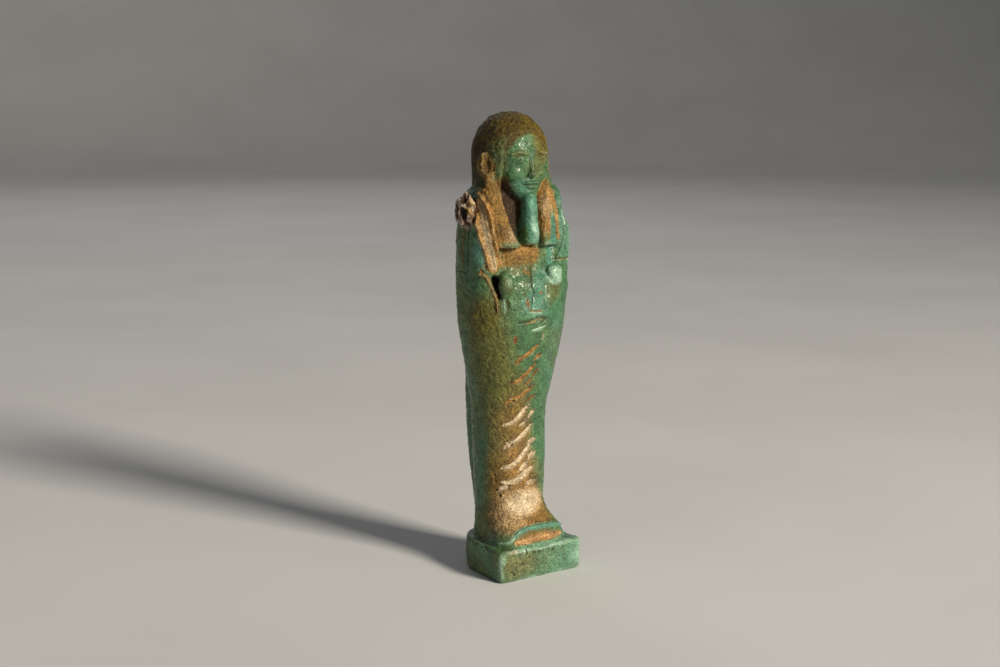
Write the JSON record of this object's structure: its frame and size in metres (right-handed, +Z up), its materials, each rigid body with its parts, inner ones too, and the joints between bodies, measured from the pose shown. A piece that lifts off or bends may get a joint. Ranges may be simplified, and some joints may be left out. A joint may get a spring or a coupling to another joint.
{
  "type": "ushabti figurine",
  "caption": "Upright mummiform funerary figurine in glazed faience with wig, false beard, crossed arms, back pillar and flat base.",
  "frame": {"origin": "centre of the bounding box's underside, on the flat sole of the base", "axes": "+Z up along the body, the figure looks along -Y, its own left side is at +X"},
  "size_m": [0.0314, 0.0244, 0.115],
  "materials": {
    "faience": "aged green-turquoise glaze over a tan body, mottled olive and brown, worn pale on the edges"
  },
  "bodies": {
    "root": {"figurine": "faience"}
  },
  "joints": []
}
